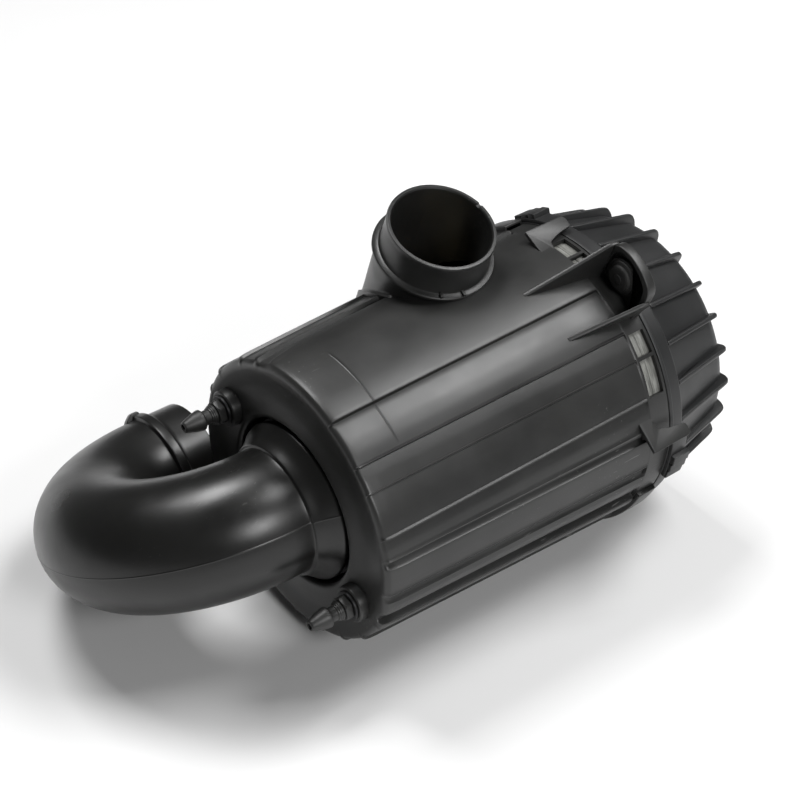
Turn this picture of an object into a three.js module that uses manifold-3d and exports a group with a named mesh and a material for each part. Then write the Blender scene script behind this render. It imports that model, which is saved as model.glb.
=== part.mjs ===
// Air filter housing: a round intake air cleaner with a side inlet, a twin-leg outlet elbow,
// a finned service cover and a pleated element inside. Millimetres, +Z up, the housing lies on its side.
// The housing's axis is X. Angles around it are in degrees from the top (+Z), positive towards -Y.
import * as THREE from 'three';
import { mergeVertices } from 'three/addons/utils/BufferGeometryUtils.js';
import Module from 'manifold-3d';

const wasm = await Module();
wasm.setup();

// ---- driving dimensions ----
const GAP = 0.3; // clearance kept between pieces that touch
const ROUND = 40; // facets around the large turned shapes
const SMALL_ROUND = 32; // facets around the rings and caps inside
const WALL = 3;

const BODY_LENGTH = 243; // front face to parting line, the parting line is at x = 0
const SEAM_R = 112;
const FRONT_R = 102;
const RIM_BORE_R = 109;
const RIM_BORE_DEPTH = 20;
const RECESS_R = 60; // round recess in the front face, around the outlet
const RECESS_FLOOR_X = -226;
const STUB_R = 41.5; // outlet stub that the elbow and the element push onto
const STUB_WALL = 2.5;
const STUB_OUT_X = -252;
const STUB_IN_X = -206;

const RIB_ANGLES = [-22, -10, 24.5, 42.8, 53, 69.2, 83.3, 99.2, 116, 132, 148, 164, 180,
  196, 212, 228, 244, 260, 276, 292, 308, 324];
const RIB_WIDTH = 2.4;
const RIB_HEIGHT = 2;

const INLET_FACETS = 28;
const INLET_R = 37.6;
const INLET_BORE_R = 34.6;
const INLET_TILT = 18.7; // the inlet leans from the vertical towards -Y
const INLET_X = -97.2;
const INLET_OFFSET = 70.3; // inlet axis to housing axis, so that the flow enters along the wall
const INLET_RIM = 132.8; // rim height along the inlet axis, from the foot nearest the housing axis
const INLET_BEAD_R = 42.6;
const INLET_BEAD_DROP = 25.6;

const ELBOW_R = 45;
const ELBOW_BORE_R = 42.1;
const ELBOW_BEND_R = 79.5;
const ELBOW_BEND_X = -261.3; // where the straight leg ends and the bend starts
const ELBOW_FALL = 24.5; // the return leg lies this many degrees below the horizontal, on the +Y side
const ELBOW_IN_X = -228;
const ELBOW_OUT_X = -228.5;
const ELBOW_BEAD_X = -257.5;
const ELBOW_BEAD_R = 48.4;
const ELBOW_TAB_TURN = -40; // the locator tab leans this many degrees from the top towards +Y
const COLLAR_R = 57.4;

const PIN_ORBIT_R = 79; // the two front pins sit opposite each other
const PIN_ANGLES = { upper: -61.2, lower: 118.8 };
const BOSS_R = 13;
const BOSS_FACE_X = -248;
const PIN_TIP_X = -280.3;
const PIN_SHANK_R = 4;
const PIN_HOLE_R = 4.3;

const LUG_ANGLE = 26.8; // rear lug, at the rim of the body
const LUG_ORBIT_R = 127;
const LUG_R = 22;
const LUG_THICK = 4;
const LUG_HOLE_R = 10.3;
const GUSSETS = [{ start: -68, angle: 18.4, top: 145 }, { start: -60, angle: 37.4, top: 134 }];

const EAR_START_X = -28;
const EAR_END_X = -0.5;
const EARS = [
  { foot: 74.8, top: 83.4, topR: 125.9 },
  { foot: 3.5, top: -7.6, topR: 122 },
  { foot: 254.8, top: 263.4, topR: 125.9 },
];
const RIM_BAND_R = 115.5; // raised band around the hidden and lower side of the rim
const RIM_BAND_ANGLES = [112, 335];

const WINDOW_X = [-16, -3];
const WINDOWS = [[-45, -35], [-34, -24], [-1.5, 7.4], [8.6, 18.2],
  [43.6, 52.4], [53.8, 67], [197, 208], [209, 220]];

const COVER_LENGTH = 77.5;
const COVER_END_R = 92.3;
const COVER_FLANGE_R = 112.6;
const COVER_FINS = 24;
const FIRST_FIN = 7.9;
const FIN_WIDTH = 3;
const COVER_INNER_R = 100.5;
const GROOVE_R = 103.2; // groove in the cover's face that holds the seal ring
const GROOVE_DEPTH = 4;
const SEAL_END_X = -17.5;

const MEDIA_R = 88;
const MEDIA_BORE_R = 54;
const MEDIA_X = [-205, 50];
const PLEATS = 40;
const CORE_R = 51.5;

// ---- materials ----
const plastic = (color, roughness) => new THREE.MeshStandardMaterial({ color, roughness, metalness: 0 });
const housingPlastic = plastic(0x2e2f2e, 0.55);
const coverPlastic = plastic(0x2b2d2d, 0.6);
const elbowPlastic = plastic(0x252525, 0.38);
const pinPlastic = plastic(0x2c2c2c, 0.6);
const rubber = plastic(0x1b1b1b, 0.8);
const sealGrey = plastic(0x8b8d8a, 0.6);
const paper = plastic(0xd9cda6, 0.9);
const polyurethane = plastic(0xb9562b, 0.7);
const steel = new THREE.MeshStandardMaterial({ color: 0x9b9ea1, roughness: 0.35, metalness: 1 });

// ---- shape helpers ----
const radians = THREE.MathUtils.degToRad;

// Point [y, z] at a radius and an angle around the housing axis.
function polar(radius, angle) {
  return [-radius * Math.sin(radians(angle)), radius * Math.cos(radians(angle))];
}

function lerp(a, b, t) {
  return [a[0] + (b[0] - a[0]) * t, a[1] + (b[1] - a[1]) * t];
}

// Closed profile of [x, radius] points turned around an axis along X through [y, z].
function turned(profile, facets = ROUND, [y, z] = [0, 0]) {
  const points = profile.map(([x, r]) => new THREE.Vector2(r, x));
  if (profile[0][1] > 0 || profile[profile.length - 1][1] > 0) points.push(points[0].clone());
  return new THREE.LatheGeometry(points, facets).rotateZ(-Math.PI / 2).translate(0, y, z);
}

function cylinder(x0, x1, r, facets, centre) {
  return turned([[x0, 0], [x0, r], [x1, r], [x1, 0]], facets, centre);
}

function ring(x0, x1, inner, outer, facets, centre) {
  return turned([[x0, inner], [x0, outer], [x1, outer], [x1, inner]], facets, centre);
}

// Outline of [y, z] points extruded along X.
function prism(outline, x0, x1) {
  const shape = new THREE.Shape(outline.map(([y, z]) => new THREE.Vector2(y, z)));
  const axes = new THREE.Matrix4().makeBasis(
    new THREE.Vector3(0, 1, 0), new THREE.Vector3(0, 0, 1), new THREE.Vector3(1, 0, 0));
  const geometry = new THREE.ExtrudeGeometry(shape, { depth: x1 - x0, bevelEnabled: false });
  return geometry.applyMatrix4(axes).translate(x0, 0, 0);
}

// Flat web of [x, radius] points standing along the axis at one angle.
function web(outline, angle, width) {
  const shape = new THREE.Shape(outline.map(([x, r]) => new THREE.Vector2(x, r)));
  const geometry = new THREE.ExtrudeGeometry(shape, { depth: width, bevelEnabled: false });
  return geometry.translate(0, 0, -width / 2).rotateX(Math.PI / 2).rotateX(radians(angle));
}

// Outline of a band between two radii and two angles, for prism.
function arcBand(inner, outer, from, to, steps = 4) {
  const outline = [];
  for (let i = 0; i <= steps; i++) outline.push(polar(outer, from + ((to - from) * i) / steps));
  for (let i = steps; i >= 0; i--) outline.push(polar(inner, from + ((to - from) * i) / steps));
  return outline;
}

function solid(geometry) {
  const bare = geometry.clone();
  bare.deleteAttribute('normal');
  bare.deleteAttribute('uv');
  const merged = mergeVertices(bare, 1e-4);
  return new wasm.Manifold(new wasm.Mesh({
    numProp: 3,
    vertProperties: new Float32Array(merged.attributes.position.array),
    triVerts: new Uint32Array(merged.index.array),
  }));
}

function join(base, geometries) {
  return geometries.reduce((sum, geometry) => sum.add(solid(geometry)), base);
}

function cut(base, geometries) {
  return geometries.reduce((sum, geometry) => sum.subtract(solid(geometry)), base);
}

function toGeometry(body) {
  const mesh = body.getMesh();
  const geometry = new THREE.BufferGeometry();
  geometry.setAttribute('position', new THREE.BufferAttribute(new Float32Array(mesh.vertProperties), 3));
  geometry.setIndex(new THREE.BufferAttribute(new Uint32Array(mesh.triVerts), 1));
  geometry.computeVertexNormals();
  return geometry;
}

const assembly = new THREE.Group();

function addPart(name, shape, material) {
  const geometry = shape.isBufferGeometry ? shape : toGeometry(shape);
  const mesh = new THREE.Mesh(geometry, material);
  mesh.name = name;
  assembly.add(mesh);
}

// ---- housing body ----
const bodyRadius = (x) => SEAM_R + ((SEAM_R - FRONT_R) / BODY_LENGTH) * x;
const lugCentre = polar(LUG_ORBIT_R, LUG_ANGLE);
const pinCentre = (side) => polar(PIN_ORBIT_R, PIN_ANGLES[side]);

function bodyShell() {
  const front = -BODY_LENGTH;
  const outside = [
    [STUB_OUT_X, STUB_R - STUB_WALL],
    [STUB_OUT_X, STUB_R],
    [-246, STUB_R], // groove for the elbow's seal ring
    [-246, STUB_R - 1.5],
    [-242, STUB_R - 1.5],
    [-242, STUB_R],
    [RECESS_FLOOR_X, STUB_R],
    [RECESS_FLOOR_X, RECESS_R - 1],
    [front + 2.5, RECESS_R],
    [front, RECESS_R + 2.5],
    [front + 2.5, 80],
    [front, 95],
    [front + 1, 99],
    [front + 3.5, FRONT_R - 0.6],
    [front + 8, bodyRadius(front + 8)],
    [0, SEAM_R],
  ];
  const inside = [
    [0, RIM_BORE_R],
    [-RIM_BORE_DEPTH, RIM_BORE_R],
    [-RIM_BORE_DEPTH - 1, bodyRadius(-RIM_BORE_DEPTH) - WALL],
    [front + 8, bodyRadius(front + 8) - WALL],
    [front + 4.5, 95],
    [front + 5.5, 80],
    [front + 4, RECESS_R + 5],
    [RECESS_FLOOR_X + WALL, RECESS_R + 2],
    [RECESS_FLOOR_X + WALL, STUB_R],
    [STUB_IN_X, STUB_R],
    [STUB_IN_X, STUB_R - STUB_WALL],
  ];
  return { shell: solid(turned([...outside, ...inside])), inside };
}

function bodyRibs() {
  const start = -BODY_LENGTH + 6;
  const end = -18;
  const outline = [
    [start, bodyRadius(start) - 1.5],
    [end, bodyRadius(end) - 1.5],
    [end, bodyRadius(end) + RIB_HEIGHT - 0.8],
    [start + 8, bodyRadius(start + 8) + RIB_HEIGHT],
    [start + 2, bodyRadius(start) + RIB_HEIGHT * 0.6],
  ];
  return RIB_ANGLES.map((angle) => web(outline, angle, RIB_WIDTH));
}

// The inlet is turned along X about the origin, then stood up, tilted and moved to its place.
function placeInlet(geometry) {
  const across = radians(INLET_TILT);
  return geometry
    .rotateY(-Math.PI / 2)
    .translate(INLET_X, INLET_OFFSET, 0)
    .rotateX(across);
}

function inletOuter() {
  const bead = INLET_RIM - INLET_BEAD_DROP;
  return placeInlet(turned([
    [0, 0],
    [0, INLET_R],
    [bead - 14, INLET_R + 1.6],
    [bead - 2.5, INLET_R + 1],
    [bead - 1.5, INLET_BEAD_R],
    [bead + 1, INLET_BEAD_R],
    [bead + 2, INLET_R + 1],
    [INLET_RIM, INLET_R],
    [INLET_RIM, 0],
  ], INLET_FACETS));
}

const inletBore = () => placeInlet(cylinder(10, INLET_RIM + 5, INLET_BORE_R, INLET_FACETS));

// The plate that carries the rear rubber mount, with its two long gussets.
function rearLug() {
  const foot = LUG_ORBIT_R - SEAM_R + 2;
  const outline = [];
  for (let i = 0; i <= 10; i++) {
    const turn = radians(-20 + i * 22);
    outline.push([-LUG_R * Math.cos(turn), LUG_R * Math.sin(turn)]);
  }
  outline.push([18, -foot + 2.2]);
  outline.push([-18, -foot + 2.2]);
  const lean = radians(LUG_ANGLE);
  const placed = outline.map(([t, r]) => {
    const radius = LUG_ORBIT_R + r;
    return [-radius * Math.sin(lean) + t * Math.cos(lean), radius * Math.cos(lean) + t * Math.sin(lean)];
  });
  return prism(placed, -LUG_THICK, 0);
}

function lugGussets() {
  return GUSSETS.map(({ start, angle, top }) => web([
    [start, bodyRadius(start) - 1.5],
    [-0.5, SEAM_R - 1],
    [-0.5, top - 4],
    [-3, top],
    [-8, top],
    [start, bodyRadius(start) + 0.5],
  ], angle, 3));
}

// A leaning ear on the rim: its tongue reaches to the parting line, and a web holds it up.
function ear({ foot, top, topR }) {
  const bottom = SEAM_R - 1.2;
  const way = Math.sign(top - foot);
  const a = polar(bottom, foot);
  const b = polar(topR, top);
  const c = polar(topR - 3.2, top + way);
  const d = polar(bottom, foot + way * 3);
  const under = polar(bottom, top + way * 0.5);
  return [
    prism([a, b, c, d], EAR_START_X, WINDOW_X[0] - 1),
    prism([lerp(a, b, 0.45), b, c, lerp(d, c, 0.47)], WINDOW_X[0] - 2, EAR_END_X),
    prism([a, c, under], EAR_START_X + 2, EAR_START_X + 5),
  ];
}

function rimBand() {
  const [from, to] = RIM_BAND_ANGLES;
  return prism(arcBand(SEAM_R - 1.5, RIM_BAND_R, from, to, 30), -17, -0.5);
}

function bodyCutters() {
  const windows = WINDOWS.map(([from, to]) =>
    prism(arcBand(RIM_BORE_R - 2, SEAM_R + 2, from, to, 3), WINDOW_X[0], WINDOW_X[1]));
  const pinHoles = ['upper', 'lower'].map((side) =>
    cylinder(BOSS_FACE_X - 1, -236, PIN_HOLE_R, 12, pinCentre(side)));
  const lugHole = cylinder(-LUG_THICK - 1, 1, LUG_HOLE_R, 24, lugCentre);
  return [...windows, ...pinHoles, lugHole];
}

function housingBody() {
  const { shell, inside } = bodyShell();
  const rimFace = SEAM_R + 1;
  const cavity = solid(turned([
    [STUB_IN_X, 0], ...inside.slice().reverse().filter(([, r]) => r > STUB_R + 1),
    [rimFace - SEAM_R, RIM_BORE_R], [rimFace - SEAM_R, 0],
  ]));
  const bosses = ['upper', 'lower'].map((side) =>
    cylinder(BOSS_FACE_X, -233, BOSS_R, 20, pinCentre(side)));
  const moulded = join(solid(inletOuter()),
    [...bodyRibs(), rimBand(), rearLug(), ...lugGussets(), ...EARS.flatMap(ear)]);
  const body = join(shell.add(moulded.subtract(cavity)), bosses);
  return cut(body, [inletBore(), ...bodyCutters()]);
}

addPart('housing_body', housingBody(), housingPlastic);

// ---- outlet elbow ----
const legDrop = radians(ELBOW_FALL);
const legCentre = [2 * ELBOW_BEND_R * Math.cos(legDrop), -2 * ELBOW_BEND_R * Math.sin(legDrop)];

// Centre line of the elbow by arc length: a straight leg, half a circle and a straight leg back.
class ElbowLine extends THREE.Curve {
  getPoint(t) {
    const first = ELBOW_IN_X - ELBOW_BEND_X;
    const bend = Math.PI * ELBOW_BEND_R;
    const last = ELBOW_OUT_X - ELBOW_BEND_X;
    const s = t * (first + bend + last);
    let along = ELBOW_IN_X - s;
    let across = 0;
    if (s > first + bend) {
      along = ELBOW_BEND_X + (s - first - bend);
      across = 2 * ELBOW_BEND_R;
    } else if (s > first) {
      const turn = (s - first) / ELBOW_BEND_R;
      along = ELBOW_BEND_X - ELBOW_BEND_R * Math.sin(turn);
      across = ELBOW_BEND_R * (1 - Math.cos(turn));
    }
    return new THREE.Vector3(along, across * Math.cos(legDrop), -across * Math.sin(legDrop));
  }
}

function elbowTube() {
  const section = new THREE.Shape().absarc(0, 0, ELBOW_R, 0, 2 * Math.PI, false);
  section.holes.push(new THREE.Path().absarc(0, 0, ELBOW_BORE_R, 0, 2 * Math.PI, true));
  const extrudePath = new ElbowLine();
  return new THREE.ExtrudeGeometry(section, { steps: 20, curveSegments: 12, extrudePath });
}

function outletElbow() {
  const collar = turned([
    [-257, ELBOW_R - 0.8],
    [-256.4, ELBOW_R + 2],
    [-250, ELBOW_R + 4.6],
    [-245, COLLAR_R - 3],
    [-241.5, COLLAR_R],
    [-238, COLLAR_R],
    [-238, COLLAR_R - 2.5],
    [-243, COLLAR_R - 5.5],
    [-248, ELBOW_R - 0.8],
  ], 24);
  const bead = turned([
    [ELBOW_BEAD_X - 4.5, ELBOW_R - 1],
    [ELBOW_BEAD_X - 3.4, ELBOW_BEAD_R],
    [ELBOW_BEAD_X + 3.4, ELBOW_BEAD_R],
    [ELBOW_BEAD_X + 4.5, ELBOW_R - 1],
  ], 24, legCentre);
  const tab = new THREE.BoxGeometry(13, 6, 7)
    .translate(ELBOW_BEAD_X - 3, 0, ELBOW_R + 2)
    .rotateX(radians(ELBOW_TAB_TURN))
    .translate(0, ...legCentre);
  return join(solid(elbowTube()), [collar, bead, tab]);
}

addPart('outlet_elbow', outletElbow(), elbowPlastic);
addPart('elbow_seal_ring',
  ring(-246 + GAP, -242 - GAP, STUB_R - 1.5 + GAP, STUB_R + 0.2, SMALL_ROUND), rubber);
addPart('elbow_retaining_ring',
  ring(-233, -229, ELBOW_R + GAP, RECESS_R - 2, SMALL_ROUND), steel);

// ---- service cover ----
function coverShell() {
  const end = COVER_LENGTH;
  return turned([
    [0.4, COVER_INNER_R],
    [0.4, GROOVE_R],
    [GROOVE_DEPTH, GROOVE_R],
    [GROOVE_DEPTH, RIM_BORE_R],
    [0.4, RIM_BORE_R],
    [0.4, COVER_FLANGE_R],
    [12.5, COVER_FLANGE_R],
    [14, COVER_FLANGE_R - 1.5],
    [15.5, COVER_FLANGE_R - 5.5],
    [end - 8.5, COVER_END_R + 2.2],
    [end - 3, COVER_END_R - 1],
    [end, COVER_END_R - 7],
    [end, 62],
    [end - 2.5, 58],
    [end - 2.5, 0],
    [end - 5.5, 0],
    [end - 5.5, 60],
    [end - 3, 64],
    [end - 3, COVER_END_R - 9],
    [end - 6, COVER_END_R - 4],
    [end - 10, COVER_END_R - 0.8],
    [14, COVER_FLANGE_R - 8.5],
    [8, COVER_INNER_R],
  ]);
}

function coverFins() {
  const outline = [
    [14.5, COVER_FLANGE_R - 6.5],
    [14.5, COVER_FLANGE_R - 1.8],
    [COVER_LENGTH - 8, COVER_END_R + 8],
    [COVER_LENGTH - 3.5, COVER_END_R + 6.6],
    [COVER_LENGTH - 0.6, COVER_END_R + 2.4],
    [COVER_LENGTH + 0.2, COVER_END_R - 4],
    [COVER_LENGTH - 1.5, COVER_END_R - 8],
    [COVER_LENGTH - 7, COVER_END_R],
  ];
  const fins = [];
  for (let i = 0; i < COVER_FINS; i++) {
    fins.push(web(outline, FIRST_FIN + (i * 360) / COVER_FINS, FIN_WIDTH));
  }
  return fins;
}

// Stepped finger grips beside the ears, for pulling the cover.
function coverGrips() {
  const foot = COVER_FLANGE_R - 2;
  const grips = [];
  for (const { top } of EARS) {
    const way = top < 0 ? -1 : 1;
    const sector = (radius, from, to, end) => {
      const edges = [top + way * from, top + way * to];
      return prism(arcBand(foot, radius, Math.min(...edges), Math.max(...edges), 2), 1, end);
    };
    grips.push(sector(115.5, 4.5, 22.5, 15));
    for (let step = 0; step < 3; step++) {
      grips.push(sector(119 - step, 11.4 + step * 3.8, 14.6 + step * 3.8, 17));
    }
  }
  return grips;
}

addPart('end_cover', join(solid(coverShell()), [...coverFins(), ...coverGrips()]), coverPlastic);
addPart('cover_seal_ring',
  ring(SEAL_END_X, GROOVE_DEPTH - GAP, GROOVE_R + GAP, RIM_BORE_R - GAP, ROUND), sealGrey);

// ---- front mounting pins ----
function mountPin(side) {
  const front = PIN_TIP_X;
  const head = -265.8;
  return turned([
    [front, 0],
    [front, 3.2],
    [front + 1, 4.2],
    [head - 2, 7.2],
    [head, 7.4],
    [head + 0.8, 6.8],
    [head + 1.2, 5],
    [-258.5, 5],
    [-258, 6.8],
    [BOSS_FACE_X - 8, 7.2],
    [BOSS_FACE_X - 8, PIN_SHANK_R],
    [-237, PIN_SHANK_R],
    [-237, 0],
  ], 16, pinCentre(side));
}

for (const side of ['upper', 'lower']) {
  const centre = pinCentre(side);
  const nutFace = BOSS_FACE_X - 2.3;
  addPart(`${side}_mount_pin`, mountPin(side), pinPlastic);
  addPart(`${side}_pin_nut`, cut(solid(cylinder(nutFace - 5.3, nutFace, 9.2, 6, centre)),
    [cylinder(nutFace - 7, nutFace + 2, PIN_HOLE_R, 12, centre)]), pinPlastic);
  addPart(`${side}_pin_washer`,
    ring(BOSS_FACE_X - 2, BOSS_FACE_X - GAP, PIN_HOLE_R, 10.5, 16, centre), steel);
}

// ---- rear rubber mount ----
function lugBuffer() {
  const plateFront = -LUG_THICK - GAP;
  return turned([
    [-10.5, 0],
    [-10.5, 8.5],
    [-9.8, 9.5],
    [-7.6, 9.5],
    [-7.4, 12],
    [-6.2, 12.2],
    [-6, 14],
    [plateFront, 14],
    [plateFront, LUG_HOLE_R - GAP],
    [GAP, LUG_HOLE_R - GAP],
    [GAP, 12.5],
    [3, 12],
    [3, 5 + GAP],
    [-7, 5 + GAP],
    [-7, 0],
  ], 24, lugCentre);
}

addPart('rear_lug_buffer', lugBuffer(), rubber);
addPart('rear_lug_insert', turned([
  [-6.7, 0], [-6.7, 5], [2.6, 5], [2.6, 3.3], [-4, 3.3], [-4, 0],
], 16, lugCentre), steel);

// ---- filter element ----
// Pleated paper: one closed zigzag band, its inner and outer faces a paper thickness apart.
function pleatedMedia() {
  const thick = 1.1;
  const outer = [];
  const inner = [];
  for (let i = 0; i < PLEATS; i++) {
    const angle = (i * 360) / PLEATS;
    const half = 180 / PLEATS;
    outer.push(polar(MEDIA_R, angle), polar(MEDIA_BORE_R + 2 * thick, angle + half));
    inner.push(polar(MEDIA_R - 5 * thick, angle), polar(MEDIA_BORE_R, angle + half));
  }
  const shape = new THREE.Shape(outer.map(([y, z]) => new THREE.Vector2(y, z)));
  shape.holes.push(new THREE.Path(inner.map(([y, z]) => new THREE.Vector2(y, z))));
  const depth = MEDIA_X[1] - MEDIA_X[0];
  const geometry = new THREE.ExtrudeGeometry(shape, { depth, bevelEnabled: false });
  const axes = new THREE.Matrix4().makeBasis(
    new THREE.Vector3(0, 1, 0), new THREE.Vector3(0, 0, 1), new THREE.Vector3(1, 0, 0));
  return geometry.applyMatrix4(axes).translate(MEDIA_X[0], 0, 0);
}

// Support tube with rows of air slots.
function coreTube() {
  const slots = [];
  const rows = 3;
  const pitch = (MEDIA_X[1] - MEDIA_X[0]) / rows;
  for (let row = 0; row < rows; row++) {
    const start = MEDIA_X[0] + pitch * (row + 0.15);
    for (let i = 0; i < 5; i++) {
      const outline = arcBand(CORE_R - 5, CORE_R + 2, i * 72 - 24, i * 72 + 24, 2);
      slots.push(prism(outline, start, start + pitch * 0.7));
    }
  }
  return cut(solid(ring(MEDIA_X[0], MEDIA_X[1], CORE_R - 1.5, CORE_R, 30)), slots);
}

const [mediaStart, mediaEnd] = MEDIA_X;
addPart('filter_media', pleatedMedia(), paper);
addPart('element_core', coreTube(), steel);
addPart('element_outlet_cap', turned([
  [mediaStart - 9, STUB_R + GAP],
  [mediaStart - 9, 60],
  [mediaStart - 9, MEDIA_R],
  [mediaStart - 6, MEDIA_R + 2.5],
  [mediaStart - GAP, MEDIA_R + 2.5],
  [mediaStart - GAP, STUB_R + 3],
  [mediaStart - 2, STUB_R + GAP],
], SMALL_ROUND), polyurethane);
addPart('element_end_cap', turned([
  [mediaEnd + GAP, 0],
  [mediaEnd + GAP, MEDIA_R + 2.5],
  [mediaEnd + 7, MEDIA_R + 2.5],
  [mediaEnd + 9, MEDIA_R],
  [mediaEnd + 9, 40],
  [mediaEnd + 6, 36],
  [mediaEnd + 6, 0],
], SMALL_ROUND), polyurethane);
addPart('element_support_ring', ring(mediaEnd + 9.3, COVER_LENGTH - 5.8, 70, 73, SMALL_ROUND), rubber);

// ---- the housing stands on z = 0, centred in plan ----
const box = new THREE.Box3().setFromObject(assembly);
const centre = box.getCenter(new THREE.Vector3());
assembly.position.set(-centre.x, -centre.y, -box.min.z);

export default assembly;
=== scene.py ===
import math

import bmesh
import bpy
import numpy as np
from mathutils import Matrix, Vector


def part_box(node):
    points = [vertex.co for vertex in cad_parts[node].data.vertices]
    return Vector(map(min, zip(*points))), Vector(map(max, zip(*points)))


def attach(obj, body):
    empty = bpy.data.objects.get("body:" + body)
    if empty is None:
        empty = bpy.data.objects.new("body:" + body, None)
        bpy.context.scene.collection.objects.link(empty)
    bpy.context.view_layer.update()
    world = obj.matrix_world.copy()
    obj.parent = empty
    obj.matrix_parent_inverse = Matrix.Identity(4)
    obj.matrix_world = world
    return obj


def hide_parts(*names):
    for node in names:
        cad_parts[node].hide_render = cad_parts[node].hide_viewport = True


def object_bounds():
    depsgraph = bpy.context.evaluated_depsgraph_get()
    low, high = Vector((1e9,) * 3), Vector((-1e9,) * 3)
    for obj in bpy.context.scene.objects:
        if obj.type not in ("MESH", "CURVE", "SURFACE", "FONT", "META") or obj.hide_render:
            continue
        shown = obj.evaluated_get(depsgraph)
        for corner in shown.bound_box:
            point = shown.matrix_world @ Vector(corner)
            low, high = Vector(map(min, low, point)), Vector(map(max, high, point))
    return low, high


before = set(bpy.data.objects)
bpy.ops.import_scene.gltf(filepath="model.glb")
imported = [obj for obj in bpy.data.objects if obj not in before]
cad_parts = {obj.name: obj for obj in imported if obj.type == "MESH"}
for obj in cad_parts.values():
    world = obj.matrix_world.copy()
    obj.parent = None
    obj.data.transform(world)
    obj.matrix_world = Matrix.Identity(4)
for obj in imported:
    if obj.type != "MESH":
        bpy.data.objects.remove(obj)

CAD_BOX = [list(corner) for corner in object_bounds()]

# Shapes are worked out in millimetres in the housing's own frame and moved to the row frame at the end.
# X is the housing's axis with the parting line at 0. Angles run from the top (+Z) towards -Y, in degrees.
seal_low, seal_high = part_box("cover_seal_ring")
AXIS_ORIGIN = Vector((seal_high.x - 0.0037, (seal_low.y + seal_high.y) / 2, (seal_low.z + seal_high.z) / 2))
TO_ROW = Matrix.Translation(AXIS_ORIGIN) @ Matrix.Scale(0.001, 4)

# Housing: a cone from FRONT_R at FRONT_X to SEAM_R at the parting line, with a stub for the elbow in front.
LENGTH = 243
FRONT_X = -LENGTH
SEAM_R = 112
FRONT_R = 102
WALL = 3
RIM_BORE_R = 109
STUB_X = -252
STUB_R = 41.5
STUB_BORE_R = 39.2

# Mounts: two pins on the front face, one rubber buffer in a lug behind the parting line.
PIN_ORBIT = 79
PIN_ANGLES = {"upper": -61.2, "lower": 118.8}
PIN_HOLE_R = 4.3
BOSS_X = -248
LUG_ORBIT = 127
LUG_ANGLE = 26.8
BUFFER_HOLE_R = 10.3

# Inlet: its axis leans from the vertical by INLET_TILT; heights run along it from the housing's axis.
INLET_TILT = 18.7
INLET_X = -97.2
INLET_OFFSET = 70.3
INLET_R = 37.6
INLET_RIM = 132.8
INLET_BEAD = 107.2
STOP_FOOT = INLET_BEAD + 0.9

# Elbow: straight leg from ELBOW_START_X to BEND_X, half a turn of radius BEND_R, straight leg to ELBOW_END_X.
ELBOW_START_X = -228
ELBOW_END_X = -228.5
ELBOW_R = 45
ELBOW_BORE_R = 42.1
BEND_R = 79.5
BEND_X = -261.3
BEND_FALL = 24.5
ELBOW_BEAD_X = -257.5
TAB_LEAN = 40

# Cover: a flange at the parting line, then a cone with fins to COVER_END_R.
COVER_LENGTH = 77.5
COVER_END_R = 92.3
FLANGE_R = 112.6
COVER_INNER_R = 100.5
FIN_COUNT = 24

# Element: pleated paper between two end pieces.
PAPER_START_X = -204.9
PAPER_END_X = 49.9
PAPER_INNER_R = 54.6
PAPER_OUTER_R = 87.4
CORE_R = 51.4
CAP_R = 90.4


# ---------------------------------------------------------------- geometry helpers

def polar(radius, angle):
    """The (y, z) of a point at a radius and angle around the housing's axis."""
    a = math.radians(angle)
    return (-radius * math.sin(a), radius * math.cos(a))


def smoothstep(t):
    t = np.clip(t, 0.0, 1.0)
    return t * t * (3 - 2 * t)


def body_radius(x):
    """Radius of the housing's plain cone at x."""
    return SEAM_R + (SEAM_R - FRONT_R) / LENGTH * x


def soften(points, radius, closed=True, steps=4):
    """Rounds the corners of a polyline of 2-D points. A third number on a point is its own radius."""
    result = []
    count = len(points)
    for i, point in enumerate(points):
        here = np.array(point[:2], float)
        if not closed and i in (0, count - 1):
            result.append(tuple(here))
            continue
        before = np.array(points[i - 1][:2], float) - here
        after = np.array(points[(i + 1) % count][:2], float) - here
        lb, la = np.linalg.norm(before), np.linalg.norm(after)
        reach = min(point[2] if len(point) > 2 else radius, 0.45 * lb, 0.45 * la)
        bend = abs(math.degrees(math.acos(np.clip(-(before @ after) / (lb * la), -1, 1))))
        if reach < 0.02 or bend < 6:
            result.append(tuple(here))
            continue
        start, end = here + before / lb * reach, here + after / la * reach
        for k in range(steps + 1):
            t = k / steps
            result.append(tuple((1 - t) ** 2 * start + 2 * t * (1 - t) * here + t * t * end))
    return result


def resample(points, longest):
    """Splits the segments of a polyline that are longer than the given length."""
    result = [points[0]]
    for a, b in zip(points, points[1:]):
        n = max(1, math.ceil(math.dist(a, b) / longest))
        result += [tuple(np.array(a) + (np.array(b) - np.array(a)) * k / n) for k in range(1, n + 1)]
    return result


def inset(outline, distance):
    """Outline moved inwards, whichever way round it runs."""
    p = np.array(outline, float)
    edges = np.roll(p, -1, 0) - p
    edges /= np.linalg.norm(edges, axis=1)[:, None]
    area = 0.5 * np.sum(p[:, 0] * np.roll(p[:, 1], -1) - np.roll(p[:, 0], -1) * p[:, 1])
    normals = np.stack([-edges[:, 1], edges[:, 0]], 1) * (1 if area > 0 else -1)
    mid = normals + np.roll(normals, 1, 0)
    mid /= np.maximum(np.sum(mid * np.roll(normals, 1, 0), 1), 0.35)[:, None]
    return p + mid * distance


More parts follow.
